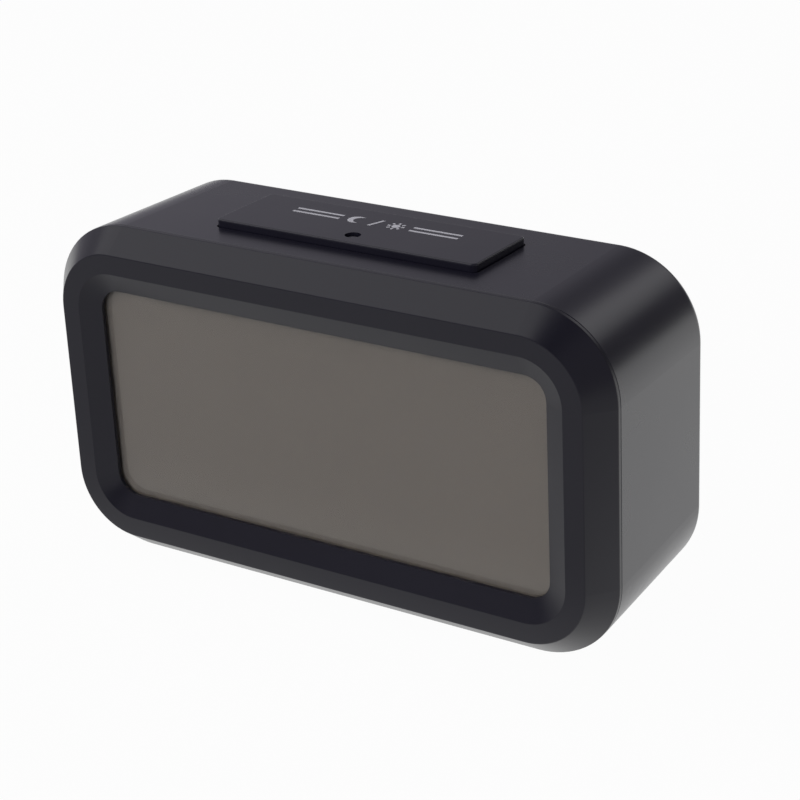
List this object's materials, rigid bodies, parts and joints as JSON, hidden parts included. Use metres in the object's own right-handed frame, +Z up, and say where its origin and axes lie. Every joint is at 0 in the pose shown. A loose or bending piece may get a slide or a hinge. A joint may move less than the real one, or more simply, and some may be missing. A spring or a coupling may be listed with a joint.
{
  "type": "digital desk clock",
  "caption": "Low rounded desk clock with a bevelled front frame, wide blank display, snooze bar on top, rear setting keys, a night light switch and a battery door.",
  "frame": {"origin": "on the surface that the clock stands on, under the middle of its width and depth", "axes": "+Z up, the display faces -Y, +X to the right of someone who looks at the display"},
  "size_m": [0.135, 0.045, 0.0771],
  "materials": {
    "case_plastic": "satin black moulded plastic, fine texture",
    "bezel_plastic": "satin black moulded plastic",
    "key_plastic": "satin black moulded plastic with white print",
    "window_clear": "clear hard-coated sheet with a soft anti-glare face",
    "polariser_film": "warm grey polarising film, unlit",
    "glass": "clear float glass",
    "milky_acrylic": "milky acrylic",
    "white_plastic": "white moulded plastic",
    "white_film": "white reflective film",
    "lamp_package": "white lamp package with yellow phosphor",
    "connector_rubber": "layered conductive silicone",
    "circuit_board": "green solder mask on glass fibre board",
    "board_brown": "brown phenolic paper board",
    "resin": "black potting resin",
    "steel": "zinc plated steel",
    "nickel": "nickel plated spring steel",
    "can_aluminium": "drawn aluminium can",
    "cell_jacket": "plain printed jacket over the cell's can",
    "switch_black": "black switch body",
    "plunger_black": "black switch plunger",
    "sensor_clear": "clear epoxy sensor body",
    "bead": "dark epoxy bead",
    "sounder_brass": "brass disc with a ceramic layer",
    "foot_rubber": "black rubber",
    "wire_red": "red insulation",
    "wire_black": "black insulation",
    "ribbon_grey": "grey ribbon insulation"
  },
  "bodies": {
    "case": {"front_bezel": "bezel_plastic", "rear_case": "case_plastic", "rubber_feet": "foot_rubber", "case_screws": "steel", "display_window": "window_clear", "front_polariser": "polariser_film", "lcd_glass": "glass", "rear_polariser": "polariser_film", "zebra_strips": "connector_rubber", "backlight_tray": "white_plastic", "light_guide": "milky_acrylic", "reflector_sheet": "white_film", "backlight_leds": "lamp_package", "main_board": "circuit_board", "board_screws": "steel", "chip_cover": "resin", "crystal": "can_aluminium", "capacitor": "can_aluminium", "thermistor": "bead", "snooze_switches": "switch_black", "snooze_board": "board_brown", "snooze_screws": "steel", "light_sensor": "sensor_clear", "key_switches": "switch_black", "key_board": "board_brown", "key_screws": "steel", "slide_switch": "steel", "battery_cells": "cell_jacket", "battery_plates": "nickel", "battery_springs": "nickel", "sounder_disc": "sounder_brass", "positive_lead": "wire_red", "negative_lead": "wire_black", "sounder_leads": "wire_black", "key_ribbon": "ribbon_grey", "snooze_ribbon": "ribbon_grey"},
    "snooze_bar": {"snooze_button": "key_plastic", "snooze_plungers": "plunger_black"},
    "mode_key": {"mode_key": "key_plastic", "mode_plunger": "plunger_black"},
    "set_key": {"set_key": "key_plastic", "set_plunger": "plunger_black"},
    "up_key": {"up_key": "key_plastic", "up_plunger": "plunger_black"},
    "down_key": {"down_key": "key_plastic", "down_plunger": "plunger_black"},
    "night_light_knob": {"switch_knob": "key_plastic"},
    "battery_door": {"battery_door": "case_plastic"}
  },
  "joints": [
    {"name": "snooze_press", "type": "slide", "parent": "case", "child": "snooze_bar", "axis": [0, -0.0337, -0.9994], "range_m": [0, 0.0005], "stiffness_N_per_m": 3000, "springref_m": -0.0005},
    {"name": "mode_press", "type": "slide", "parent": "case", "child": "mode_key", "axis": [0, -1, 0], "range_m": [0, 0.0005], "stiffness_N_per_m": 1500, "springref_m": -0.0005},
    {"name": "set_press", "type": "slide", "parent": "case", "child": "set_key", "axis": [0, -1, 0], "range_m": [0, 0.0005], "stiffness_N_per_m": 1500, "springref_m": -0.0005},
    {"name": "up_press", "type": "slide", "parent": "case", "child": "up_key", "axis": [0, -1, 0], "range_m": [0, 0.0005], "stiffness_N_per_m": 1500, "springref_m": -0.0005},
    {"name": "down_press", "type": "slide", "parent": "case", "child": "down_key", "axis": [0, -1, 0], "range_m": [0, 0.0005], "stiffness_N_per_m": 1500, "springref_m": -0.0005},
    {"name": "night_light_slide", "type": "slide", "parent": "case", "child": "night_light_knob", "axis": [-1, 0, 0], "range_m": [0, 0.0025]},
    {"name": "battery_door_hinge", "type": "hinge", "parent": "case", "child": "battery_door", "pos_m": [0, 0.0217, 0.01], "axis": [-1, 0, 0], "range_deg": [0, 90]}
  ]
}
